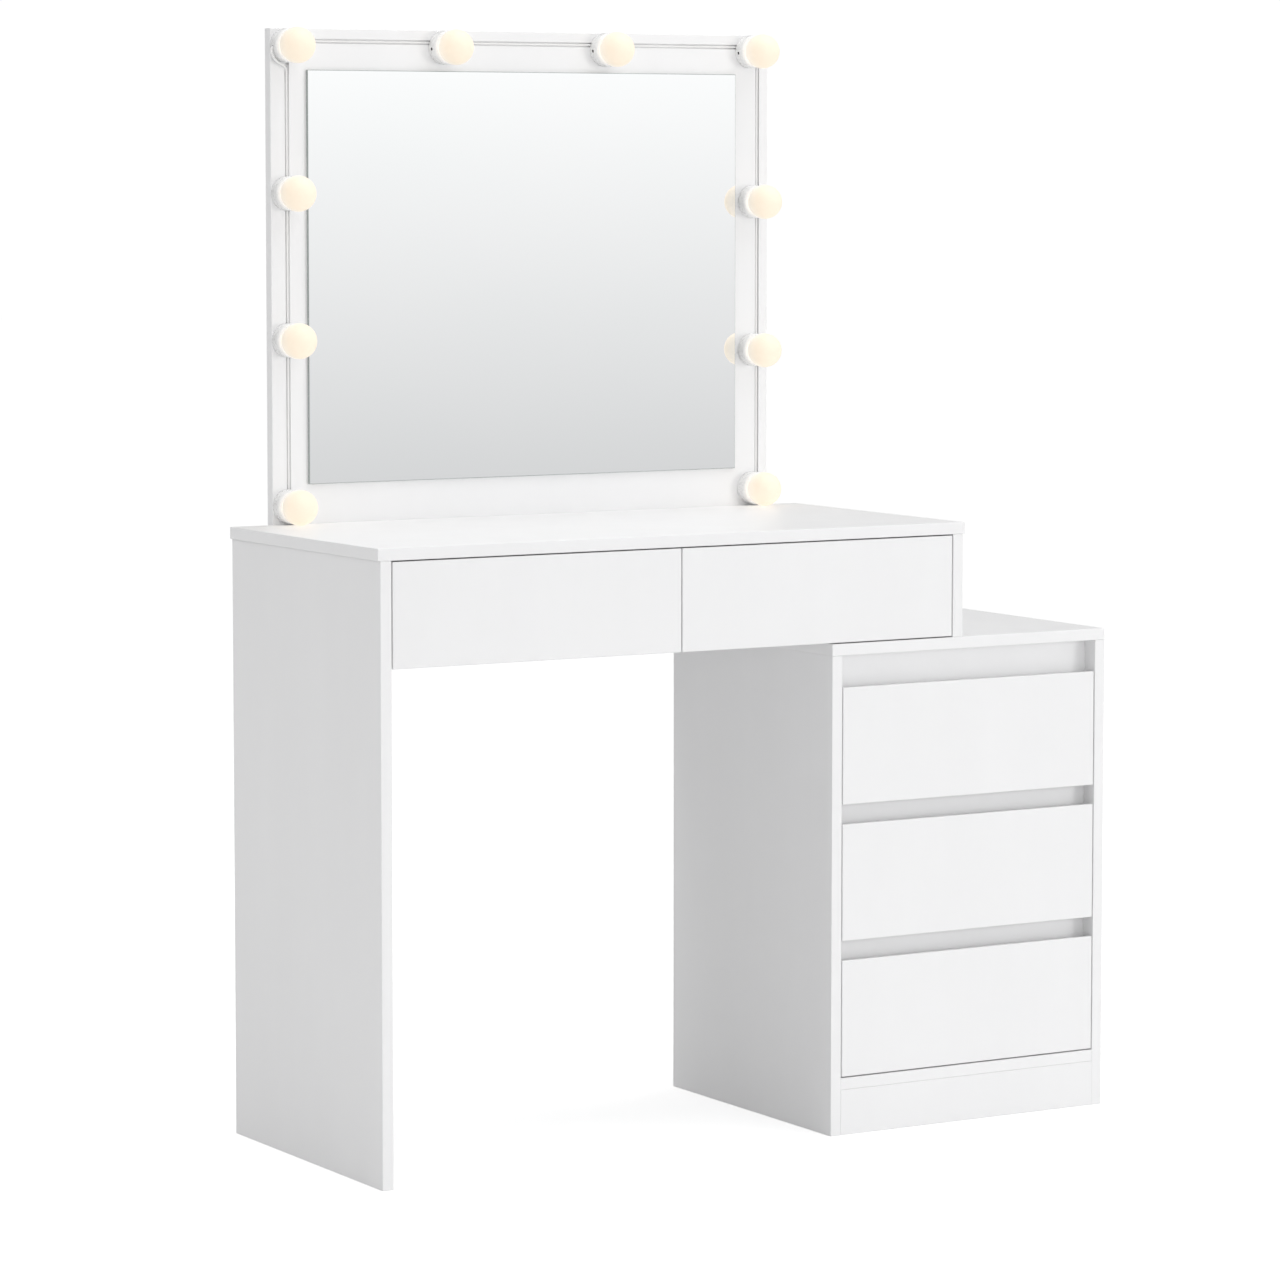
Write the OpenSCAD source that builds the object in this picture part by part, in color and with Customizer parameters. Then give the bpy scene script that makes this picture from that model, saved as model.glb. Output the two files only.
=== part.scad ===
// Vanity table with a lighted mirror: a desk with two drawers, resting on one panel leg and on a
// three-drawer cabinet, and a mirror board with ten round bulbs standing behind the desk.
// Millimetres, +Z up, the front faces -Y. The origin is on the floor, at the middle of the whole box.

/* [Boards] */
// Thickness of every carcass board and drawer front
board_t = 15; // [12:1:18]
// Gap round an inset drawer front
reveal = 1.5; // [1:0.5:2.5]

/* [Desk] */
// Width of the desk top
desk_w = 840; // [800:10:900]
// Depth of the desk top
desk_d = 400; // [390:5:440]
// Height of the desk top's upper face
desk_h = 770; // [750:5:790]
// Overhang of the desk top past each side panel
top_overhang = 3; // [0:1:10]
// Height of the drawer case between cabinet and desk top
case_h = 131; // [120:1:140]

/* [Cabinet] */
// Distance from the desk's left end to the cabinet
cabinet_x = 640; // [600:5:700]
// Width of the cabinet
cabinet_w = 420; // [400:5:450]
// Depth of the cabinet without its back panel
cabinet_d = 385; // [380:1:390]
// Height of the plinth board
plinth_h = 58; // [40:1:70]
// Finger gap above the middle and the lowest drawer front
finger_gap = 25; // [20:1:30]
// Finger gap above the highest drawer front
top_gap = 40.5; // [30:0.5:45]
// Distance of the finger rails behind the drawers' faces
rail_setback = 22; // [20:1:30]
// Thickness of the back panel
back_panel_t = 3; // [2.5:0.5:5]

/* [Drawers] */
// Length of a drawer box
box_l = 350; // [300:10:350]
// Thickness of a drawer box's sides and back
box_t = 12; // [10:1:12]
// Thickness of a drawer's bottom panel
bottom_t = 3; // [3:0.5:4]
// Height of a desk drawer's box
desk_box_h = 88; // [80:1:90]
// Height of a cabinet drawer's box
cabinet_box_h = 105; // [90:1:110]
// Space for a runner on each side of a drawer box
runner_space = 12.5; // [12.5:0.5:14]

/* [Mirror] */
// Width of the mirror board
mirror_w = 734; // [700:2:760]
// Height of the mirror board above the desk top
mirror_rise = 622; // [560:2:680]
// Reach of the mirror board below the desk top's upper face
mirror_drop = 115; // [100:5:125]
// Distance from the desk's left end to the mirror board
mirror_x = 60; // [45:1:70]
// Width of the glass
glass_w = 632; // [600:2:640]
// Height of the glass
glass_h = 520.5; // [480:0.5:530]
// Thickness of the glass
glass_t = 4; // [3:0.5:5]
// Margin of the glass at the board's left edge and above the desk
glass_margin = 50; // [45:1:55]

/* [Bulbs] */
// Radius of a bulb's base
base_r = 21.5; // [18:0.5:22]
// Height of a bulb's base
base_h = 16; // [12:1:18]
// Radius of a bulb's globe
globe_r = 22.5; // [18:0.5:24]
// Width of the cable groove
groove_w = 6; // [5:0.5:9]
// Diameter of the cable between the bulbs
cable_d = 3; // [2.5:0.5:3.5]

/* [Hidden] */
DRAWERS = ["desk_left", "desk_right", "cabinet_top", "cabinet_middle", "cabinet_bottom"];
DRAWER_PIECES = ["front", "left_side", "right_side", "back", "bottom", "runners", "fixings"];

$fn = 48;
white = [0.93, 0.93, 0.94];
steel = [0.72, 0.73, 0.75];

// Places, measured from the desk's left end, its front face and the floor
leg_x = top_overhang;
leg_in = leg_x + board_t;
panel_out = desk_w - top_overhang;
panel_in = panel_out - board_t;
under_top = desk_h - board_t;
cabinet_h = under_top - case_h;
case_floor = cabinet_h + board_t;
rail_y = desk_d - board_t;
middle_x = desk_w / 2;
case_y = board_t + 2;
cab_in_l = cabinet_x + board_t;
cab_in_r = cabinet_x + cabinet_w - board_t;
cab_out_r = cabinet_x + cabinet_w;
cab_under_top = cabinet_h - board_t;
cab_floor = plinth_h + board_t;
front_h = (cab_under_top - cab_floor - reveal - top_gap - 2 * finger_gap) / 3;
front_pitch = front_h + finger_gap;
total_w = cab_out_r;
total_d = desk_d + board_t;
mirror_top = desk_h + mirror_rise;
glass_x = mirror_x + glass_margin;
glass_z = desk_h + glass_margin;

// A drawer's numbers: opening's left and right wall, front's left and right end, front's lower and
// upper edge, box's lower edge and height
function desk_bay(l, r, fl, fr) =
    [l, r, fl, fr, cabinet_h + reveal, under_top - reveal, case_floor + 6, desk_box_h];
function cabinet_bay(i) =
    let (z = cab_floor + reveal + i * front_pitch)
    [cab_in_l, cab_in_r, cab_in_l + reveal, cab_in_r - reveal, z, z + front_h, z + 9, cabinet_box_h];
BAYS = [desk_bay(leg_in, middle_x - board_t / 2, leg_in + reveal, middle_x - reveal / 2),
        desk_bay(middle_x + board_t / 2, panel_in, middle_x + reveal / 2, panel_in - reveal),
        cabinet_bay(2), cabinet_bay(1), cabinet_bay(0)];
function box_left(b) = b[0] + runner_space;
function box_right(b) = b[1] - runner_space;
function box_mid(b) = b[6] + b[7] / 2;

// Finger rails stand upright behind the gaps between the drawer fronts
rail_h = finger_gap + 15;
rail_low = 8;
function rail_z(i) = cab_floor + reveal + i * front_pitch + front_h - rail_low;

// Runners: a C channel on the case and a smaller one on the drawer box, 2 mm apart all round
runner_h = 35;
runner_l = box_l - 10;
runner_y = board_t + 2;
runner_lip = 9;
sheet_t = 1.2;
slider_h = 28;
runner_screw_y = [40, 160, 300];

// Cam fittings: lock's middle on its face, the way into the board, and the way the bolt points
cam_in = 24;
bolt_grip = 9;
case_cam_y = [70, 330];
cabinet_cam_y = [70, 310];
rail_cam_z = 700;
rail_dowel_z = 670;
CAMS = concat(
    [for (y = case_cam_y) [[leg_in, y, under_top - cam_in], [-1, 0, 0], [0, 0, 1]]],
    [for (y = case_cam_y) [[panel_in, y, under_top - cam_in], [1, 0, 0], [0, 0, 1]]],
    [for (y = case_cam_y) [[middle_x - board_t / 2, y, under_top - cam_in], [1, 0, 0], [0, 0, 1]]],
    [for (y = case_cam_y) [[leg_in + cam_in, y, cabinet_h], [0, 0, 1], [-1, 0, 0]]],
    [for (y = case_cam_y) [[panel_in - cam_in, y, cabinet_h], [0, 0, 1], [1, 0, 0]]],
    [[[leg_in + cam_in, rail_y, rail_cam_z], [0, 1, 0], [-1, 0, 0]],
     [[panel_in - cam_in, rail_y, rail_cam_z], [0, 1, 0], [1, 0, 0]],
     [[cab_in_l + cam_in, board_t, plinth_h / 2], [0, -1, 0], [-1, 0, 0]],
     [[cab_in_r - cam_in, board_t, plinth_h / 2], [0, -1, 0], [1, 0, 0]]],
    [for (y = cabinet_cam_y) [[cab_in_l, y, cab_under_top - cam_in], [-1, 0, 0], [0, 0, 1]]],
    [for (y = cabinet_cam_y) [[cab_in_r, y, cab_under_top - cam_in], [1, 0, 0], [0, 0, 1]]],
    [for (y = cabinet_cam_y) [[cab_in_l + cam_in, y, plinth_h], [0, 0, 1], [-1, 0, 0]]],
    [for (y = cabinet_cam_y) [[cab_in_r - cam_in, y, plinth_h], [0, 0, 1], [1, 0, 0]]]);

// Dowels: middle of the joint, and the way of the longer half
dowel_r = 4;
dowel_long = 20;
dowel_short = 10;
DOWELS = concat(
    [for (x = [leg_x + board_t / 2, panel_out - board_t / 2], y = [35, 365])
        [[x, y, under_top], [0, 0, -1]]],
    [for (y = [60, 340]) [[middle_x, y, case_floor], [0, 0, 1]]],
    [for (x = [cabinet_x + board_t / 2, cab_out_r - board_t / 2], y = [35, 350])
        [[x, y, cab_under_top], [0, 0, -1]]],
    [for (i = [0:2]) [[cab_in_l, rail_setback + board_t / 2, rail_z(i) + rail_h / 2], [1, 0, 0]]],
    [for (i = [0:2]) [[cab_in_r, rail_setback + board_t / 2, rail_z(i) + rail_h / 2], [-1, 0, 0]]],
    [[[leg_in, rail_y + board_t / 2, rail_dowel_z], [1, 0, 0]],
     [[panel_in, rail_y + board_t / 2, rail_dowel_z], [-1, 0, 0]]]);

// Screws: middle of the head's outer face, the way it is driven, shank length
MIRROR_SCREWS = [for (x = [110, 425, 744], z = [675, 730]) [[x, total_d, z], [0, -1, 0], 26]];
TIE_SCREWS = [for (x = [670, 800], y = [120, 280]) [[x, y, case_floor], [0, 0, -1], 26]];
screw_r = 2;

// Bulbs: the middle of each base on the mirror board's face, and its cable hole's way
column_l = mirror_x + base_r;
column_r = mirror_x + mirror_w - base_r - 3;
row_z = mirror_top - base_r;
// The lowest bulbs just clear the desk top
foot_z = desk_h + globe_r + 0.5;
BULBS = concat(
    [for (x = [column_l, 306, 543, 765]) [x, row_z, [-1, 0, 0]]],
    [for (z = [foot_z, 1002, 1186]) [column_l, z, [0, 0, -1]]],
    [for (z = [foot_z, 977, 1173]) [column_r, z, [0, 0, -1]]]);
groove_depth = 3.6;
groove_top = 15.5;
groove_foot = foot_z;
groove_l = mirror_x + 23;
groove_r = mirror_x + mirror_w - 16;
groove_z = mirror_top - groove_top;
cable_y = desk_d + 1.8;
// The left cable climbs its groove, leaves it below the corner bulb and curls into that bulb's hole
LEFT_CABLE = [[groove_l, cable_y, foot_z + 3], [groove_l, cable_y, 1334], [82.8, 401, 1338.6],
    [81, 399.4, 1342.6], [77, 397.6, 1345.6], [71.4, 396, 1348], [66, 394.7, 1351.2],
    [62.2, 393.6, 1354.8], [59.5, 392.8, 1358.6], [58, 392.2, 1362.2], [57.8, 392, 1365.4],
    [59.2, 392, 1367.8], [62, 392, 1368.4], [65, 392, 1368.4]];
cable_bend = 8;
RIGHT_CABLE = concat([[88, cable_y, groove_z]],
    [for (a = [90:-22.5:0]) [groove_r - cable_bend + cable_bend * cos(a), cable_y,
                             groove_z - cable_bend + cable_bend * sin(a)]],
    [[groove_r, cable_y, foot_z + 3]]);

// Turns +Z to the direction d, which lies along an axis
module along(d) {
    if (d[2] > 0) children();
    else if (d[2] < 0) rotate([180, 0, 0]) children();
    else if (d[0] != 0) rotate([0, 90 * d[0], 0]) children();
    else rotate([-90 * d[1], 0, 0]) children();
}

// Cross recess for the driver, in a head whose outer face is at z = 0
module cross_recess(reach, depth) {
    for (a = [0, 90]) rotate(a)
        translate([-reach, -reach / 5, -0.5]) cube([2 * reach, reach / 2.5, depth + 0.5]);
}

module cam_lock(c, r, depth, mid) {
    difference() {
        translate(c[0]) along(c[1]) cylinder(r = r, h = depth);
        translate(c[0] + c[1] * mid) along(c[2]) cylinder(r = 3.4, h = r + 1);
        translate(c[0]) along(c[1]) cross_recess(r / 2, 1.8);
    }
}

module cam_bolt(c, mid, extra = 0) {
    translate(c[0] + c[1] * mid + c[2] * 1.2) along(c[2])
        cylinder(r = 3 + extra, h = cam_in + bolt_grip - 1.2 + extra);
}

module cam_bore(c, r, depth, mid) {
    translate(c[0] - c[1] * 0.5) along(c[1]) cylinder(r = r + 0.1, h = depth + 0.6);
    cam_bolt(c, mid, 0.1);
}

module dowel(d, extra = 0) {
    translate(d[0] - d[1] * (dowel_short + extra)) along(d[1])
        cylinder(r = dowel_r + extra, h = dowel_long + dowel_short + 2 * extra);
}

// Countersunk screw, its flat head flush with the face it enters
module flat_screw(s, r = screw_r, extra = 0) {
    translate(s[0]) along(s[1]) difference() {
        union() {
            translate([0, 0, -extra]) cylinder(r1 = 2 * r + extra, r2 = r + extra, h = r + extra);
            cylinder(r = r + extra, h = s[2] + extra);
        }
        if (extra == 0) cross_recess(r, 1.2);
    }
}

// Pan-head screw through a runner; s[0] is on the sheet, the shank goes into the wood
module runner_screw(s, extra = 0) {
    translate(s[0]) along(s[1]) {
        if (extra == 0) translate([0, 0, -1.5]) difference() {
            cylinder(r = 3.2, h = 1.5);
            cross_recess(1.8, 0.9);
        }
        translate([0, 0, -extra]) cylinder(r = 1.7 + extra, h = sheet_t + 9 + 2 * extra);
    }
}

function inside(p, lo, hi, m) = min([for (i = [0:2]) min(p[i] - lo[i], hi[i] - p[i])]) > -m;

// Screws that hold the case's runners: a row on each wall of each bay
CASE_SCREWS = [for (b = BAYS, y = runner_screw_y)
    each [[[b[0] + sheet_t, runner_y + y, box_mid(b)], [-1, 0, 0]],
          [[b[1] - sheet_t, runner_y + y, box_mid(b)], [1, 0, 0]]]];

// A board from corner lo to corner hi, with the bores of the fittings that meet it
module board(lo, hi) {
    difference() {
        translate(lo) cube(hi - lo);
        for (c = CAMS) if (inside(c[0], lo, hi, cam_in + 1)) cam_bore(c, 7.5, 12, board_t / 2);
        for (d = DOWELS) if (inside(d[0], lo, hi, 1)) dowel(d, 0.1);
        for (s = CASE_SCREWS) if (inside(s[0], lo, hi, 2)) runner_screw(s, 0.1);
        for (s = TIE_SCREWS) if (inside(s[0], lo, hi, board_t + 1)) flat_screw(s, extra = 0.1);
        for (s = MIRROR_SCREWS) if (inside(s[0], lo, hi, board_t + 1)) flat_screw(s, extra = 0.1);
    }
}

// Moves the desk's own places to the part's frame
module placed() {
    translate([-total_w / 2, -total_d / 2, 0]) children();
}

module desk_top() {
    color(white) placed() board([0, 0, under_top], [desk_w, desk_d, desk_h]);
}

module left_leg_panel() {
    color(white) placed() board([leg_x, 0, 0], [leg_in, desk_d, under_top]);
}

module desk_right_panel() {
    color(white) placed() board([panel_in, 0, cabinet_h], [panel_out, desk_d, under_top]);
}

module desk_divider() {
    color(white) placed() board([middle_x - board_t / 2, case_y, case_floor],
                                [middle_x + board_t / 2, rail_y, under_top]);
}

module desk_bottom_board() {
    color(white) placed() board([leg_in, case_y, cabinet_h], [panel_in, desk_d, case_floor]);
}

module desk_back_rail() {
    color(white) placed() board([leg_in, rail_y, case_floor], [panel_in, desk_d, under_top]);
}

module groove() {
    half = groove_w / 2;
    translate([groove_l - half, desk_d - 1, groove_foot])
        cube([groove_w, groove_depth + 1, groove_z + half - groove_foot]);
    translate([groove_r - half, desk_d - 1, groove_foot])
        cube([groove_w, groove_depth + 1, groove_z + half - groove_foot]);
    translate([groove_l - half, desk_d - 1, groove_z - half])
        cube([groove_r - groove_l + groove_w, groove_depth + 1, groove_w]);
}

module mirror_board() {
    color(white) placed() difference() {
        board([mirror_x, desk_d, desk_h - mirror_drop], [mirror_x + mirror_w, total_d, mirror_top]);
        groove();
    }
}

module mirror_glass() {
    color([0.75, 0.8, 0.84]) placed()
        translate([glass_x, desk_d - glass_t, glass_z]) cube([glass_w, glass_t, glass_h]);
}

// Puts children on the mirror board's face, with +Z towards the user
module on_board(b) {
    translate([b[0], desk_d, b[1]]) rotate([90, 0, 0]) children();
}

module bulb_base() {
    edge = 3;
    rotate_extrude() polygon(concat([[0, 0], [base_r, 0]],
        [for (a = [0:22.5:90]) [base_r - edge + edge * cos(a), base_h - edge + edge * sin(a)]],
        [[0, base_h]]));
}

module bulb_bases() {
    color([0.95, 0.95, 0.95]) placed() for (b = BULBS) difference() {
        on_board(b) bulb_base();
        translate([b[0], desk_d - 8, b[1] - (b[2][0] == 0 ? 0 : 2.1)] + b[2] * 14)
            along(b[2]) cylinder(r = 2, h = 10, $fn = 24);
    }
}

// Frosted globe: a thin shell whose round mouth stands on the base
module bulb_globe() {
    wall = 1.2;
    middle = base_h + 0.8 * globe_r;
    difference() {
        translate([0, 0, middle]) sphere(r = globe_r);
        translate([0, 0, middle]) sphere(r = globe_r - wall);
        translate([0, 0, middle - globe_r - 1]) cylinder(r = globe_r, h = base_h - middle + globe_r + 1);
    }
}

module bulb_globes() {
    color([1, 0.94, 0.84]) placed() for (b = BULBS) on_board(b) bulb_globe();
}

// Round tube swept along points that never run front to back
module tube(path, d, sides = 10) {
    n = len(path);
    function unit(v) = v / norm(v);
    function way(i) = unit(path[min(i + 1, n - 1)] - path[max(i - 1, 0)]);
    function ring(i) =
        let (t = way(i), u = unit(cross(t, [0, 1, 0])), v = cross(u, t))
        [for (k = [0:sides - 1]) path[i] + d / 2 * (cos(360 * k / sides) * u + sin(360 * k / sides) * v)];
    points = [for (i = [0:n - 1]) each ring(i)];
    walls = [for (i = [0:n - 2], k = [0:sides - 1])
        let (a = i * sides + k, b = i * sides + (k + 1) % sides) [a, b, b + sides, a + sides]];
    ends = [[for (k = [sides - 1:-1:0]) k], [for (k = [0:sides - 1]) (n - 1) * sides + k]];
    polyhedron(points, concat(walls, ends), convexity = 4);
}

module bulb_cable() {
    color(white) placed() {
        tube(LEFT_CABLE, cable_d);
        tube(RIGHT_CABLE, cable_d);
    }
}

module cabinet_top_board() {
    color(white) placed() board([cabinet_x, 0, cab_under_top], [cab_out_r, cabinet_d, cabinet_h]);
}

module cabinet_left_side() {
    color(white) placed() board([cabinet_x, 0, 0], [cab_in_l, cabinet_d, cab_under_top]);
}

module cabinet_right_side() {
    color(white) placed() board([cab_in_r, 0, 0], [cab_out_r, cabinet_d, cab_under_top]);
}

module cabinet_bottom_board() {
    color(white) placed() board([cab_in_l, 0, plinth_h], [cab_in_r, cabinet_d, cab_floor]);
}

module cabinet_plinth() {
    color(white) placed() board([cab_in_l, 0, 0], [cab_in_r, board_t, plinth_h]);
}

module cabinet_back_panel() {
    color([0.85, 0.85, 0.84]) placed()
        translate([cabinet_x + 2, cabinet_d, plinth_h + 2])
        cube([cabinet_w - 4, back_panel_t, cabinet_h - plinth_h - 4]);
}

module finger_rail(i) {
    top = i == 2 ? cab_under_top : rail_z(i) + rail_h;
    color(white) placed() board([cab_in_l, rail_setback, rail_z(i)], [cab_in_r, rail_setback + board_t, top]);
}

// C channel lying along Y: its sheet at x = 0, its lips towards +X when side is 1
module channel(x, mid, side, h, lip) {
    translate([x, runner_y, mid]) scale_x(side) difference() {
        translate([0, 0, -h / 2]) cube([lip, runner_l, h]);
        translate([sheet_t, -1, sheet_t - h / 2]) cube([lip, runner_l + 2, h - 2 * sheet_t]);
    }
}

module scale_x(side) {
    if (side > 0) children();
    else mirror([1, 0, 0]) children();
}

module case_runners() {
    color(steel) placed() difference() {
        for (b = BAYS) {
            channel(b[0], box_mid(b), 1, runner_h, runner_lip);
            channel(b[1], box_mid(b), -1, runner_h, runner_lip);
        }
        for (s = CASE_SCREWS) runner_screw(s, 0.1);
    }
}

module cam_fittings() {
    color(steel) placed() for (c = CAMS) {
        cam_lock(c, 7.5, 12, board_t / 2);
        cam_bolt(c, board_t / 2);
    }
}

module dowels() {
    color([0.78, 0.62, 0.42]) placed() for (d = DOWELS) dowel(d);
}

module case_screws() {
    color(steel) placed() {
        for (s = CASE_SCREWS) runner_screw(s);
        for (s = TIE_SCREWS) flat_screw(s);
    }
}

module mirror_screws() {
    color(steel) placed() for (s = MIRROR_SCREWS) flat_screw(s);
}

// Fittings of one drawer: small cams to the front, runner screws, and screws into the back board
small_cam_r = 6;
small_cam_depth = 9;
panel_slot = 5;
function drawer_cams(b) = [for (z = [b[6] + 22, b[6] + b[7] - 20])
    each [[[box_left(b) + box_t, board_t + cam_in, z], [-1, 0, 0], [0, -1, 0]],
          [[box_right(b) - box_t, board_t + cam_in, z], [1, 0, 0], [0, -1, 0]]]];
function slide_screws(b) = [for (y = runner_screw_y)
    each [[[box_left(b) - sheet_t, runner_y + y, box_mid(b)], [1, 0, 0]],
          [[box_right(b) + sheet_t, runner_y + y, box_mid(b)], [-1, 0, 0]]]];
function back_screws(b) = [for (z = [b[6] + 20, b[6] + b[7] - 12])
    each [[[box_left(b), board_t + box_l - box_t / 2, z], [1, 0, 0], 30],
          [[box_right(b), board_t + box_l - box_t / 2, z], [-1, 0, 0], 30]]];

module drawer_bores(b) {
    for (c = drawer_cams(b)) cam_bore(c, small_cam_r, small_cam_depth, box_t / 2);
    for (s = slide_screws(b)) runner_screw(s, 0.1);
    for (s = back_screws(b)) flat_screw(s, 1.75, 0.1);
}

// The slot round the inside of a drawer, which holds the bottom panel
module bottom_panel(b, extra = 0) {
    translate([box_left(b) + box_t - panel_slot - extra, board_t - panel_slot - extra, b[6] + 8 - extra])
        cube([box_right(b) - box_left(b) - 2 * (box_t - panel_slot) + 2 * extra,
              box_l + panel_slot + 2 * extra, bottom_t + 2 * extra]);
}

// Drawer front; a cabinet drawer's front is bevelled behind its upper edge, for the fingers
module drawer_front(b, bevel) {
    color(white) placed() difference() {
        translate([b[2], 0, b[4]]) rotate([90, 0, 90]) linear_extrude(b[3] - b[2])
            polygon([[0, 0], [board_t, 0], [board_t, b[5] - b[4] - bevel],
                     [board_t - bevel, b[5] - b[4]], [0, b[5] - b[4]]]);
        drawer_bores(b);
        bottom_panel(b, 0.1);
    }
}

module drawer_side(b, x) {
    color(white) placed() difference() {
        translate([x, board_t, b[6]]) cube([box_t, box_l, b[7]]);
        drawer_bores(b);
        bottom_panel(b, 0.1);
    }
}

module drawer_back(b) {
    low = b[6] + 8 + bottom_t + 0.2;
    color(white) placed() difference() {
        translate([box_left(b) + box_t, board_t + box_l - box_t, low])
            cube([box_right(b) - box_left(b) - 2 * box_t, box_t, b[6] + b[7] - low]);
        drawer_bores(b);
    }
}

module drawer_runners(b) {
    color(steel) placed() difference() {
        union() {
            channel(box_left(b), box_mid(b), -1, slider_h, runner_lip);
            channel(box_right(b), box_mid(b), 1, slider_h, runner_lip);
        }
        for (s = slide_screws(b)) runner_screw(s, 0.1);
    }
}

module drawer_fixings(b) {
    color(steel) placed() {
        for (c = drawer_cams(b)) {
            cam_lock(c, small_cam_r, small_cam_depth, box_t / 2);
            cam_bolt(c, box_t / 2);
        }
        for (s = slide_screws(b)) runner_screw(s);
        for (s = back_screws(b)) flat_screw(s, 1.75);
    }
}

module drawer_piece(i, piece) {
    b = BAYS[i];
    if (piece == "front") drawer_front(b, i < 2 ? 0 : 9);
    if (piece == "left_side") drawer_side(b, box_left(b));
    if (piece == "right_side") drawer_side(b, box_right(b) - box_t);
    if (piece == "back") drawer_back(b);
    if (piece == "bottom") color(white) placed() bottom_panel(b);
    if (piece == "runners") drawer_runners(b);
    if (piece == "fixings") drawer_fixings(b);
}

desk_top();
left_leg_panel();
desk_right_panel();
desk_divider();
desk_bottom_board();
desk_back_rail();
mirror_board();
mirror_glass();
bulb_bases();
bulb_globes();
bulb_cable();
cabinet_top_board();
cabinet_left_side();
cabinet_right_side();
cabinet_bottom_board();
cabinet_plinth();
cabinet_back_panel();
finger_rail(2);  // upper_finger_rail
finger_rail(1);  // middle_finger_rail
finger_rail(0);  // lower_finger_rail
case_runners();
cam_fittings();
dowels();
case_screws();
mirror_screws();
for (i = [0:len(DRAWERS) - 1], piece = DRAWER_PIECES)
    drawer_piece(i, piece);
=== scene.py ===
import math

import bmesh
import bpy
from mathutils import Matrix, Vector


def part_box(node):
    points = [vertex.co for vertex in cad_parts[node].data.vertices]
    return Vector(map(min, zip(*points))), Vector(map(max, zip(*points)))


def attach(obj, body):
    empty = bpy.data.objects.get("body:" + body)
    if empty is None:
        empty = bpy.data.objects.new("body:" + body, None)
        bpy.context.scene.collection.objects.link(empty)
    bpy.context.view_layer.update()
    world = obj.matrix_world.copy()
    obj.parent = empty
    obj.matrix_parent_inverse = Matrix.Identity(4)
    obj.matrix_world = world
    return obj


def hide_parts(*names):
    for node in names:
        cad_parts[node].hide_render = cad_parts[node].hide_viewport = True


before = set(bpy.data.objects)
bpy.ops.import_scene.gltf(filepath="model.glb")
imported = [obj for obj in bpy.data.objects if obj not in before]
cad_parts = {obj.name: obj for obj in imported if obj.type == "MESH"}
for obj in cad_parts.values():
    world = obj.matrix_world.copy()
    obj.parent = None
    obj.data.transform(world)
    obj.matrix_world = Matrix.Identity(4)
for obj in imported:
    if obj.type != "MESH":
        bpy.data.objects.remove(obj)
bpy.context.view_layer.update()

# Vanity table with a lighted mirror. Lengths are metres; the front faces -Y.
MM = 0.001
DRAWERS = ["desk_left", "desk_right", "cabinet_top", "cabinet_middle", "cabinet_bottom"]


# ---------------------------------------------------------------- camera

def look_through_camera():
    """The long lens stands to the left of the front, a little above the desk top."""
    turn, tilt = math.radians(30.48), math.radians(4.74)
    data = bpy.data.cameras.new("camera")
    data.lens = 134.5
    data.sensor_width = 36
    data.shift_x, data.shift_y = 0.0156, -0.0625
    data.clip_end = 200
    camera = bpy.data.objects.new("camera", data)
    camera.location = (-3.138, -5.202, 1.2235)
    camera.rotation_euler = (math.pi / 2 - tilt, 0, -turn)
    bpy.context.scene.collection.objects.link(camera)
    bpy.context.scene.camera = camera


look_through_camera()


# ---------------------------------------------------------------- material helpers

class Finish:
    """A node material: its shader, and short ways to add and join nodes."""

    def __init__(self, name):
        self.material = bpy.data.materials.new(name)
        self.material.use_nodes = True
        self.tree = self.material.node_tree
        self.shader = self.tree.nodes["Principled BSDF"]
        self.place = self.tree.nodes.new("ShaderNodeTexCoord").outputs["Object"]

    def node(self, kind, inputs=(), **settings):
        """A new node; an input takes a number, a colour or another node's output."""
        made = self.tree.nodes.new(kind)
        for key, value in settings.items():
            setattr(made, key, value)
        for socket, value in dict(inputs).items():
            if isinstance(value, bpy.types.NodeSocket):
                self.tree.links.new(value, made.inputs[socket])
            else:
                made.inputs[socket].default_value = value
        return made

    def noise(self, scale, detail=2.0, stretch=None, rough=0.5):
        where = self.place
        if stretch is not None:
            mapping = self.node("ShaderNodeMapping", {"Vector": self.place, "Scale": stretch})
            where = mapping.outputs[0]
        return self.node("ShaderNodeTexNoise", {
            "Vector": where, "Scale": scale, "Detail": detail, "Roughness": rough}).outputs["Fac"]

    def ranged(self, value, low, high, start=0.3, end=0.7):
        """Maps value from start..end, where noise mostly lies, to low..high."""
        return self.node("ShaderNodeMapRange", {
            "Value": value, "From Min": start, "From Max": end, "To Min": low, "To Max": high,
        }).outputs["Result"]

    def blend(self, factor, first, second):
        mix = self.node("ShaderNodeMix", data_type="RGBA")
        self.tree.links.new(factor, mix.inputs["Factor"])
        mix.inputs["A"].default_value = (*first, 1)
        mix.inputs["B"].default_value = (*second, 1)
        return mix.outputs["Result"]

    def mottled(self, pattern, first, second):
        """Base colour that wanders between two shades as the pattern does."""
        self.into("Base Color", self.blend(self.ranged(pattern, 0, 1), first, second))

    def sheen(self, pattern, low, high):
        """Roughness that wanders between low and high as the pattern does."""
        self.into("Roughness", self.ranged(pattern, low, high))

    def into(self, socket, value):
        if isinstance(value, bpy.types.NodeSocket):
            self.tree.links.new(value, self.shader.inputs[socket])
        else:
            self.shader.inputs[socket].default_value = value

    def bumps(self, height, strength, distance):
        bump = self.node("ShaderNodeBump", {
            "Height": height, "Strength": strength, "Distance": distance})
        self.into("Normal", bump.outputs[0])


def shade(colour, k):
    return tuple(c * k for c in colour)


# ---------------------------------------------------------------- finishes

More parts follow.
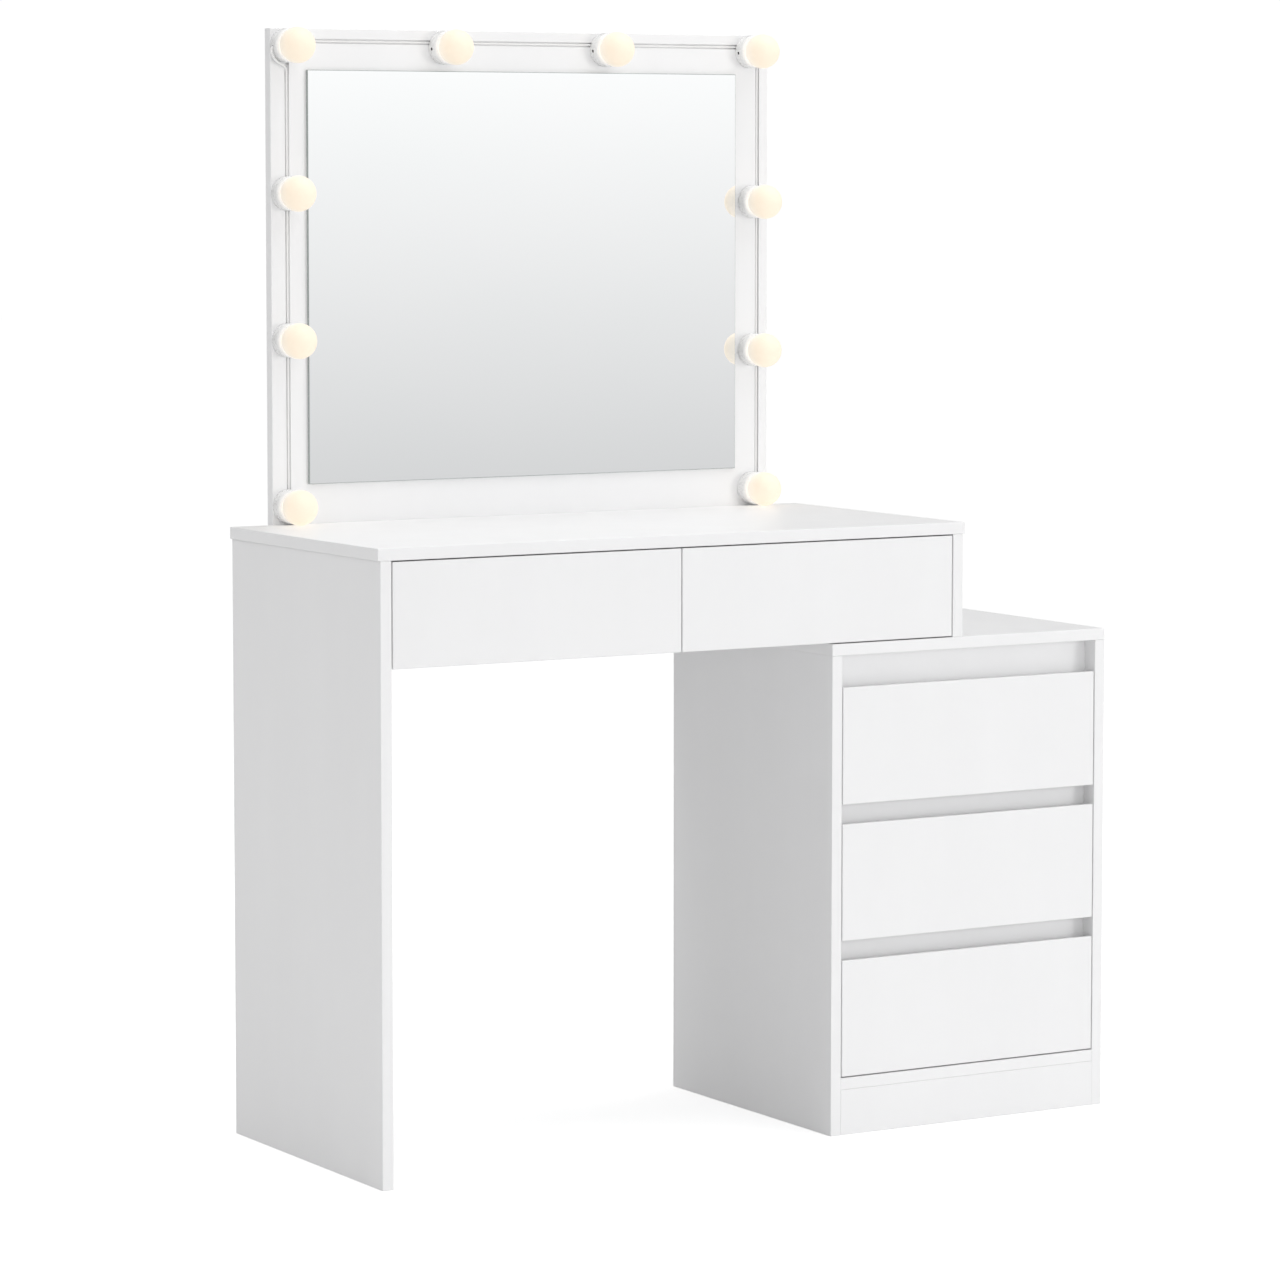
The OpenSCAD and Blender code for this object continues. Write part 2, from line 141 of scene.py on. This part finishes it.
def laminate(name, colour, rough, peel=0.12):
    """Satin melamine: a fine orange peel, faint upright clouds in the white, uneven sheen."""
    f = Finish(name)
    clouds = f.noise(2.2, 4, stretch=(5, 5, 1.1), rough=0.55)
    f.mottled(clouds, shade(colour, 0.982), colour)
    f.sheen(f.noise(38, 3), rough - 0.035, rough + 0.035)
    f.into("Specular IOR Level", 0.45)
    f.bumps(f.noise(850, 3, rough=0.6), peel, 0.12 * MM)
    return f.material


def edge_band(name, colour):
    """ABS edge strip: glossier than the board, with faint marks rolled into it."""
    f = Finish(name)
    f.mottled(f.noise(12, 3), shade(colour, 0.985), colour)
    f.sheen(f.noise(60, 2), 0.33, 0.4)
    f.bumps(f.noise(90, 1), 0.05, 0.2 * MM)
    return f.material


def hardboard(name, colour):
    """Thin coated fibreboard, duller and blotchier than laminate."""
    f = Finish(name)
    f.mottled(f.noise(140, 5, rough=0.7), shade(colour, 0.94), colour)
    f.sheen(f.noise(20, 2), 0.5, 0.62)
    f.bumps(f.noise(420, 4, rough=0.7), 0.25, 0.2 * MM)
    return f.material


def silvered_glass():
    """The mirror's face: clean silver with the faintest haze in patches."""
    f = Finish("mirror_face")
    f.mottled(f.noise(3, 2), (0.925, 0.94, 0.942), (0.94, 0.948, 0.95))
    f.into("Metallic", 1.0)
    f.sheen(f.noise(6, 3), 0.008, 0.02)
    return f.material


def glass_edge():
    """Ground edge of float glass over its silvering: dark, grey-green, finely scratched."""
    f = Finish("mirror_edge")
    f.mottled(f.noise(9, 3, stretch=(1, 60, 1)), (0.3, 0.335, 0.33), (0.4, 0.435, 0.43))
    f.sheen(f.noise(300, 2), 0.18, 0.3)
    f.into("Specular IOR Level", 0.6)
    return f.material


def backing_paint():
    """Grey paint over the silvering, against the board."""
    f = Finish("mirror_backing")
    f.mottled(f.noise(25, 3), (0.16, 0.17, 0.18), (0.2, 0.21, 0.22))
    f.sheen(f.noise(80, 2), 0.5, 0.6)
    return f.material


def moulded_plastic(name, colour, rough=0.28):
    """White injection-moulded plastic that light enters a little."""
    f = Finish(name)
    f.mottled(f.noise(60, 3), shade(colour, 0.975), colour)
    f.sheen(f.noise(240, 2), rough - 0.04, rough + 0.06)
    f.into("Subsurface Weight", 0.05)
    f.into("Subsurface Radius", (2 * MM, 2 * MM, 2 * MM))
    f.bumps(f.noise(1800, 2), 0.08, 0.08 * MM)
    return f.material


def lit_globe():
    """Frosted plastic lit from inside; the glow is warmest where "crown" is 1."""
    f = Finish("lit_globe")
    crown = f.node("ShaderNodeAttribute", attribute_name="crown").outputs["Fac"]
    speckle = f.noise(900, 2)
    f.mottled(speckle, (0.60, 0.53, 0.44), (0.63, 0.56, 0.47))
    f.into("Emission Color", f.blend(crown, (0.98, 0.96, 0.91), (1.0, 0.86, 0.68)))
    f.into("Emission Strength", 0.46)
    f.sheen(f.noise(300, 2), 0.38, 0.5)
    f.bumps(speckle, 0.1, 0.08 * MM)
    return f.material


def hole_painted_shade():
    """Inside of the bulb base's cable hole: near-black painted shade, standing in for the unlit hollow
    inside the white base.
    """
    f = Finish("bulb_hole_painted_shade")
    f.mottled(f.noise(400, 2), (0.03, 0.03, 0.03), (0.06, 0.058, 0.055))
    f.sheen(f.noise(200, 2), 0.6, 0.75)
    return f.material


def zinc_plate():
    """Bright zinc on drawn steel: fine draw lines along Y and a cloudy sheen."""
    f = Finish("zinc_plate")
    lines = f.noise(60, 2, stretch=(40, 1, 40))
    f.mottled(lines, (0.6, 0.61, 0.63), (0.66, 0.67, 0.69))
    f.into("Metallic", 1.0)
    f.sheen(f.noise(25, 2), 0.3, 0.38)
    f.bumps(lines, 0.06, 0.05 * MM)
    return f.material


def beech():
    f = Finish("beech")
    grain = f.noise(30, 4, stretch=(1, 1, 9), rough=0.65)
    f.mottled(grain, (0.5, 0.34, 0.19), (0.66, 0.49, 0.31))
    f.sheen(grain, 0.5, 0.65)
    f.bumps(grain, 0.2, 0.3 * MM)
    return f.material


FINISH = {
    "board": laminate("white_laminate", (0.885, 0.885, 0.89), 0.4),
    "board_edge": edge_band("white_edge_band", (0.89, 0.89, 0.895)),
    "drawer_board": laminate("drawer_laminate", (0.87, 0.87, 0.868), 0.5, peel=0.2),
    "drawer_edge": edge_band("drawer_edge_band", (0.87, 0.87, 0.87)),
    "panel": hardboard("drawer_hardboard", (0.86, 0.86, 0.85)),
    "back_panel": hardboard("back_hardboard", (0.83, 0.825, 0.81)),
    "mirror": silvered_glass(),
    "mirror_edge": glass_edge(),
    "mirror_back": backing_paint(),
    "base": moulded_plastic("white_bulb_plastic", (0.86, 0.86, 0.855)),
    # painted shade: the cable hole's walls are near-black to stand in for the dark hollow inside the
    # base
    "hole": hole_painted_shade(),
    "globe": lit_globe(),
    "cable": moulded_plastic("white_cable_sheath", (0.88, 0.88, 0.875), 0.4),
    "zinc": zinc_plate(),
    "beech": beech(),
}


# ---------------------------------------------------------------- making pieces

def let_go():
    """Leaves edit mode with nothing selected."""
    if bpy.context.object and bpy.context.object.mode != "OBJECT":
        bpy.ops.object.mode_set(mode="OBJECT")
    bpy.ops.object.select_all(action="DESELECT")


def take(piece):
    let_go()
    piece.select_set(True)
    bpy.context.view_layer.objects.active = piece


def edit(piece, kind="FACE"):
    """Edit mode with all of the piece selected, picking verts, edges or faces."""
    take(piece)
    bpy.ops.object.mode_set(mode="EDIT")
    bpy.context.tool_settings.mesh_select_mode = (kind == "VERT", kind == "EDGE", kind == "FACE")
    bpy.ops.mesh.select_all(action="SELECT")


def pick(piece, kind, wanted):
    """In edit mode: selects only the verts, edges or faces for which wanted() is true."""
    bpy.ops.mesh.select_all(action="DESELECT")
    mesh = bmesh.from_edit_mesh(piece.data)
    mesh.normal_update()
    chosen = [element for element in getattr(mesh, kind) if wanted(element)]
    for element in chosen:
        element.select_set(True)
    mesh.select_flush_mode()
    bmesh.update_edit_mesh(piece.data)
    return len(chosen)


def settle(piece, smooth=35):
    """Puts the piece's place into its mesh and smooths its rounded faces."""
    take(piece)
    bpy.ops.object.transform_apply(location=True, rotation=True, scale=True)
    if smooth:
        bpy.ops.object.shade_smooth_by_angle(angle=math.radians(smooth))
    let_go()


def apply(piece, kind, **settings):
    """Adds a modifier and applies it."""
    take(piece)
    modifier = piece.modifiers.new(kind.lower(), kind)
    for key, value in settings.items():
        setattr(modifier, key, value)
    bpy.ops.object.modifier_apply(modifier=modifier.name)


def even_normals(piece):
    """Keeps broad faces flat beside their rounded edges."""
    apply(piece, "WEIGHTED_NORMAL", keep_sharp=True)


def faces_front(face):
    return face.normal.y < -0.9


def faces_back(face):
    return face.normal.y > 0.9


def dress(piece, *finishes):
    piece.data.materials.clear()
    for name in finishes:
        piece.data.materials.append(FINISH[name])


def place_in_frame(piece, body, node):
    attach(piece, body)
    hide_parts(node)


def copy_of_node(node):
    """The CAD node's own shape as a new piece, its loose triangles merged to clean flat faces."""
    piece = bpy.data.objects.new(node + "_finished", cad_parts[node].data.copy())
    bpy.context.scene.collection.objects.link(piece)
    edit(piece)
    bpy.ops.mesh.remove_doubles(threshold=0.01 * MM)
    bpy.ops.mesh.dissolve_limited(angle_limit=math.radians(0.5))
    bpy.ops.object.mode_set(mode="OBJECT")
    return piece


# ---------------------------------------------------------------- boards

def planes_met(point, low, high):
    """How many of a box's six planes the point lies on."""
    near = 0.05 * MM
    return sum(min(abs(point[i] - low[i]), abs(point[i] - high[i])) < near for i in range(3))


def finished_board(node, body, face, edge, round_by=0.8 * MM):
    """A board with its outer edges rounded, its broad faces laminated and its narrow ones banded."""
    low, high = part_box(node)
    size = high - low
    thin = min(range(3), key=lambda i: size[i])
    sharp_turn, shortest = 1.2, 4 * MM

    def outer_edge(e):
        on_box = all(planes_met(v.co, low, high) >= 2 for v in e.verts)
        return (len(e.link_faces) == 2 and on_box and e.calc_face_angle(0) > sharp_turn
                and e.calc_length() > shortest)

    piece = copy_of_node(node)
    edit(piece, "EDGE")
    if pick(piece, "edges", outer_edge):
        bpy.ops.mesh.bevel(offset=round_by, segments=3, profile=0.5, affect="EDGES")
    bpy.ops.object.mode_set(mode="OBJECT")
    dress(piece, face, edge)
    for polygon in piece.data.polygons:
        narrow = abs(polygon.normal[thin]) < 0.9
        outer = planes_met(polygon.center, low, high) > 0
        polygon.material_index = int(narrow and outer)
    settle(piece, smooth=40)
    even_normals(piece)
    place_in_frame(piece, body, node)


CASE_BOARDS = [
    "desk_top", "left_leg_panel", "desk_right_panel", "desk_divider", "desk_bottom_board",
    "desk_back_rail", "mirror_board", "cabinet_top_board", "cabinet_left_side",
    "cabinet_right_side", "cabinet_bottom_board", "cabinet_plinth", "upper_finger_rail",
    "middle_finger_rail", "lower_finger_rail",
]
for name in CASE_BOARDS:
    finished_board(name, "root", "board", "board_edge")
finished_board("cabinet_back_panel", "root", "back_panel", "back_panel", 0.4 * MM)


def drawer_boards(body):
    finished_board(body + "_front", body, "board", "board_edge", 1.1 * MM)
    for side in ("left_side", "right_side", "back"):
        node = f"{body}_{side}"
        finished_board(node, body, "drawer_board", "drawer_edge", 0.6 * MM)
    finished_board(body + "_bottom", body, "panel", "panel", 0.3 * MM)


for drawer in DRAWERS:
    drawer_boards(drawer + "_drawer")


# ---------------------------------------------------------------- mirror glass

def mirror_glass():
    """Silvered plate with a ground arris all round its face."""
    low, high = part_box("mirror_glass")
    arris_width, arris_depth, near = 0.7 * MM, 0.5 * MM, 0.1 * MM
    let_go()
    bpy.ops.mesh.primitive_cube_add(size=1, location=(low + high) / 2, scale=high - low)
    glass = bpy.context.object
    glass.name = "mirror_plate"
    settle(glass, smooth=0)
    edit(glass, "FACE")
    pick(glass, "faces", faces_front)
    bpy.ops.mesh.inset(thickness=arris_width, depth=0)
    bpy.context.tool_settings.mesh_select_mode = (True, False, False)
    pick(glass, "verts", lambda v: v.co.y < low.y + near and (
        min(v.co.x - low.x, high.x - v.co.x) < near or min(v.co.z - low.z, high.z - v.co.z) < near))
    bpy.ops.transform.translate(value=(0, arris_depth, 0))
    bpy.ops.object.mode_set(mode="OBJECT")
    dress(glass, "mirror", "mirror_edge", "mirror_back")
    silvered, ground, painted = 0, 1, 2
    for polygon in glass.data.polygons:
        flat_front = polygon.normal.y < -0.99
        polygon.material_index = silvered if flat_front else painted if faces_back(polygon) else ground
    glass.data.update()
    place_in_frame(glass, "root", "mirror_glass")


mirror_glass()


# ---------------------------------------------------------------- bulbs

BASE_R = 21.5 * MM
GLOBE_R = 22.5 * MM


def whole_solid(start, left):
    """All vertices joined to start, taken out of left."""
    found, waiting = set(), [start]
    while waiting:
        vertex = waiting.pop()
        found.add(vertex)
        for edge in vertex.link_edges:
            other = edge.other_vert(vertex)
            if other in left:
                left.discard(other)
                waiting.append(other)
    return found


def bulb_places():
    """Middle of each base on the board's face, read from the CAD's bases: top row first."""
    mesh = bmesh.new()
    mesh.from_mesh(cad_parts["bulb_bases"].data)
    bmesh.ops.remove_doubles(mesh, verts=mesh.verts, dist=0.01 * MM)
    left = set(mesh.verts)
    places = []
    while left:
        xs, ys, zs = zip(*[v.co for v in whole_solid(left.pop(), left)])
        places.append(Vector(((min(xs) + max(xs)) / 2, max(ys), (min(zs) + max(zs)) / 2)))
    mesh.free()
    return sorted(places, key=lambda p: (-round(p.z, 2), p.x))


def drill_cable_hole(base):
    """A hole into the base's -X side, a little below its middle, for the cable; its walls get the
    near-black painted shade.
    """
    hole_r, hole_depth, drill_length = 2 * MM, 8 * MM, 12 * MM
    off_board, below_middle = 8 * MM, 2.1 * MM
    let_go()
    bpy.ops.mesh.primitive_cylinder_add(
        vertices=28, radius=hole_r, depth=drill_length, rotation=(0, math.pi / 2, 0),
        location=(hole_depth - drill_length / 2 - BASE_R, -off_board, -below_middle))
    drill = bpy.context.object
    dress(base, "base", "hole")
    dress(drill, "hole")
    apply(base, "BOOLEAN", object=drill, operation="DIFFERENCE", solver="EXACT",
          material_mode="TRANSFER")
    bpy.data.objects.remove(drill)


def bulb_base(height):
    """Puck with a rounded rim, a sunk seat for the globe and a cable hole on its -X side."""
    rim_round, back_round = 3.2 * MM, 0.6 * MM
    ledge, step_width, step_depth = 1.6 * MM, 0.3 * MM, 0.6 * MM
    let_go()
    bpy.ops.mesh.primitive_cylinder_add(
        vertices=72, radius=BASE_R, depth=height, location=(0, -height / 2, 0),
        rotation=(math.pi / 2, 0, 0))
    base = bpy.context.object
    settle(base, smooth=0)
    edit(base, "FACE")
    pick(base, "faces", faces_front)
    bpy.ops.mesh.bevel(offset=rim_round, segments=6, profile=0.5, affect="EDGES")
    pick(base, "faces", lambda f: f.normal.y < -0.99 and len(f.verts) > 8)
    bpy.ops.mesh.inset(thickness=ledge, depth=0)
    bpy.ops.mesh.inset(thickness=step_width, depth=-step_depth)
    pick(base, "faces", faces_back)
    bpy.ops.mesh.bevel(offset=back_round, segments=2, affect="EDGES")
    bpy.ops.object.mode_set(mode="OBJECT")
    drill_cable_hole(base)
    return base


def mark_crown(globe, foot, top):
    """Writes how near each vertex is to the lit crown: 0 near the foot, rising to 1 further out."""
    pale_part, fade = 0.2, 0.5
    crown = globe.data.attributes.new("crown", "FLOAT", "POINT")
    for vertex, value in zip(globe.data.vertices, crown.data):
        height = (-vertex.co.y - foot) / (top - foot)
        value.value = min(max((height - pale_part) / fade, 0), 1)


def bulb_globe(middle, foot):
    """Frosted globe cut off above its base, with a short collar that stands on the seat."""
    wall, collar, near = 1.2 * MM, 2 * MM, 0.1 * MM
    cut = foot + 2.4 * MM
    let_go()
    bpy.ops.mesh.primitive_uv_sphere_add(
        segments=56, ring_count=32, radius=GLOBE_R, location=(0, -middle, 0),
        rotation=(math.pi / 2, 0, 0))
    globe = bpy.context.object
    settle(globe, smooth=0)
    edit(globe, "VERT")
    bpy.ops.mesh.bisect(plane_co=(0, -cut, 0), plane_no=(0, 1, 0), clear_outer=True)
    pick(globe, "verts", lambda v: v.co.y > -cut - near)
    bpy.ops.mesh.extrude_region_move(TRANSFORM_OT_translate={"value": (0, collar, 0)})
    bpy.ops.object.mode_set(mode="OBJECT")
    apply(globe, "SOLIDIFY", thickness=wall, offset=-1)
    mark_crown(globe, foot, middle + GLOBE_R)
    return globe


def copy_to(pattern, name, where):
    """A named copy with a mesh of its own, its place in the mesh."""
    piece = pattern.copy()
    piece.data = pattern.data.copy()
    piece.name = name
    bpy.context.scene.collection.objects.link(piece)
    piece.data.transform(where)
    settle(piece, smooth=40)
    return piece


def glow_at(where):
    """The bulb's own warm light on the board and its base."""
    light = bpy.data.lights.new("bulb_light", "POINT")
    light.energy = 0.016
    light.color = (1.0, 0.8, 0.52)
    light.shadow_soft_size = GLOBE_R * 0.9
    lamp = bpy.data.objects.new("bulb_light", light)
    lamp.location = where
    bpy.context.scene.collection.objects.link(lamp)


def bulbs():
    """Ten bulbs; the row's cable holes face -X, and a quarter turn makes the columns' face down."""
    base_low, base_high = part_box("bulb_bases")
    globe_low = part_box("bulb_globes")[0]
    face = base_high.y
    base_h = face - base_low.y
    middle = face - globe_low.y - GLOBE_R
    base_pattern = bulb_base(base_h)
    globe_pattern = bulb_globe(middle, base_h)
    dress(globe_pattern, "globe")
    places = bulb_places()
    for number, place in enumerate(places, 1):
        in_row = abs(place.z - places[0].z) < 10 * MM
        turn = 0 if in_row else -math.pi / 2
        where = Matrix.Translation((place.x, face, place.z)) @ Matrix.Rotation(turn, 4, "Y")
        base = copy_to(base_pattern, f"bulb_base_{number}", where)
        place_in_frame(base, "root", "bulb_bases")
        globe = copy_to(globe_pattern, f"bulb_globe_{number}", where)
        place_in_frame(globe, "root", "bulb_globes")
        globe.visible_shadow = False
        glow_at((place.x, face - middle, place.z))
    bpy.data.objects.remove(base_pattern)
    bpy.data.objects.remove(globe_pattern)


bulbs()


# ---------------------------------------------------------------- cable and fittings

def finished_fitting(node, body, finish, angle=35):
    piece = copy_of_node(node)
    dress(piece, finish)
    settle(piece, smooth=angle)
    even_normals(piece)
    place_in_frame(piece, body, node)


finished_fitting("bulb_cable", "root", "cable", 60)
finished_fitting("dowels", "root", "beech", 50)
for name in ("case_runners", "cam_fittings", "case_screws", "mirror_screws"):
    finished_fitting(name, "root", "zinc")
for drawer in DRAWERS:
    body = drawer + "_drawer"
    for part in ("runners", "fixings"):
        finished_fitting(f"{body}_{part}", body, "zinc")


# ---------------------------------------------------------------- stage and light

def stage_floor():
    """Pale floor, lifted to white where it is seen directly, so that it runs into the backdrop."""
    glow_when_seen = 0.5
    let_go()
    bpy.ops.mesh.primitive_plane_add(size=60, location=(0, 0, 0))
    floor = bpy.context.object
    floor.name = "floor"
    f = Finish("pale_floor")
    f.mottled(f.noise(0.5, 2), (0.8, 0.8, 0.8), (0.82, 0.82, 0.82))
    f.into("Roughness", 0.9)
    f.into("Specular IOR Level", 0.1)
    f.into("Emission Color", (1, 1, 1, 1))
    seen = f.node("ShaderNodeLightPath").outputs["Is Camera Ray"]
    lift = f.node("ShaderNodeMath", {0: seen, 1: glow_when_seen}, operation="MULTIPLY")
    f.into("Emission Strength", lift.outputs[0])
    floor.data.materials.append(f.material)


def gradient_card():
    """A tall card in front, seen only in the mirror: grey at its foot, white above."""
    foot, top = 0.21, 1.52
    grey, white = (0.715, 0.715, 0.72), (1.04, 1.04, 1.04)
    let_go()
    bpy.ops.mesh.primitive_plane_add(size=12, location=(4.5, -8, 0), rotation=(math.pi / 2, 0, 0))
    card = bpy.context.object
    card.name = "gradient_card"
    settle(card, smooth=0)
    f = Finish("gradient_card")
    height = f.node("ShaderNodeSeparateXYZ", {"Vector": f.place}).outputs["Z"]
    f.into("Base Color", (0, 0, 0, 1))
    f.into("Specular IOR Level", 0.0)
    f.into("Emission Color", f.blend(f.ranged(height, 0, 1, foot, top), grey, white))
    f.into("Emission Strength", 1.0)
    card.data.materials.append(f.material)
    card.visible_camera = False
    card.visible_diffuse = False
    card.visible_shadow = False


def backdrop_of(tree, strength):
    """A white background; strength is a number or a node's output."""
    made = tree.nodes.new("ShaderNodeBackground")
    made.inputs["Color"].default_value = (1, 1, 1, 1)
    if isinstance(strength, bpy.types.NodeSocket):
        tree.links.new(strength, made.inputs["Strength"])
    else:
        made.inputs["Strength"].default_value = strength
    return made.outputs[0]


def soft_sky():
    """White seen by the camera; for light, a soft dome, brightest overhead towards the front."""
    brightest = Vector((0.05, -0.42, 0.9)).normalized()
    dome_peak, seen_white = 0.8, 1.02
    world = bpy.data.worlds.new("studio")
    bpy.context.scene.world = world
    world.use_nodes = True
    tree = world.node_tree
    tree.nodes.clear()
    sky = tree.nodes.new("ShaderNodeTexCoord")
    towards = tree.nodes.new("ShaderNodeVectorMath")
    towards.operation = "DOT_PRODUCT"
    towards.inputs[1].default_value = brightest
    tree.links.new(sky.outputs["Generated"], towards.inputs[0])
    level = tree.nodes.new("ShaderNodeMapRange")
    for socket, value in (("From Min", -1), ("From Max", 1), ("To Min", 0), ("To Max", dome_peak)):
        level.inputs[socket].default_value = value
    tree.links.new(towards.outputs["Value"], level.inputs["Value"])
    rays = tree.nodes.new("ShaderNodeLightPath")
    choose = tree.nodes.new("ShaderNodeMixShader")
    tree.links.new(rays.outputs["Is Camera Ray"], choose.inputs["Fac"])
    tree.links.new(backdrop_of(tree, level.outputs["Result"]), choose.inputs[1])
    tree.links.new(backdrop_of(tree, seen_white), choose.inputs[2])
    out = tree.nodes.new("ShaderNodeOutputWorld")
    tree.links.new(choose.outputs[0], out.inputs["Surface"])


def soft_box(name, place, size, power):
    """A round soft box aimed at the middle of the table, not seen in the mirror."""
    light = bpy.data.lights.new(name, "AREA")
    light.shape = "DISK"
    light.size = size
    light.energy = power
    lamp = bpy.data.objects.new(name, light)
    lamp.location = place
    aim = Vector((0, 0, 0.7)) - Vector(place)
    lamp.rotation_euler = aim.to_track_quat("-Z", "Y").to_euler()
    lamp.visible_glossy = False
    bpy.context.scene.collection.objects.link(lamp)


stage_floor()
gradient_card()
soft_sky()
soft_box("front_right", (4.8, -5.6, 1.2), 2.4, 98)
soft_box("front_left", (-2.2, -7.4, 1.3), 2.8, 66)
soft_box("fill_left", (-5.2, 0.4, 3.8), 1.8, 44)
soft_box("overhead", (0.9, -0.3, 4.6), 3, 62)
bpy.context.scene.view_settings.view_transform = "Standard"
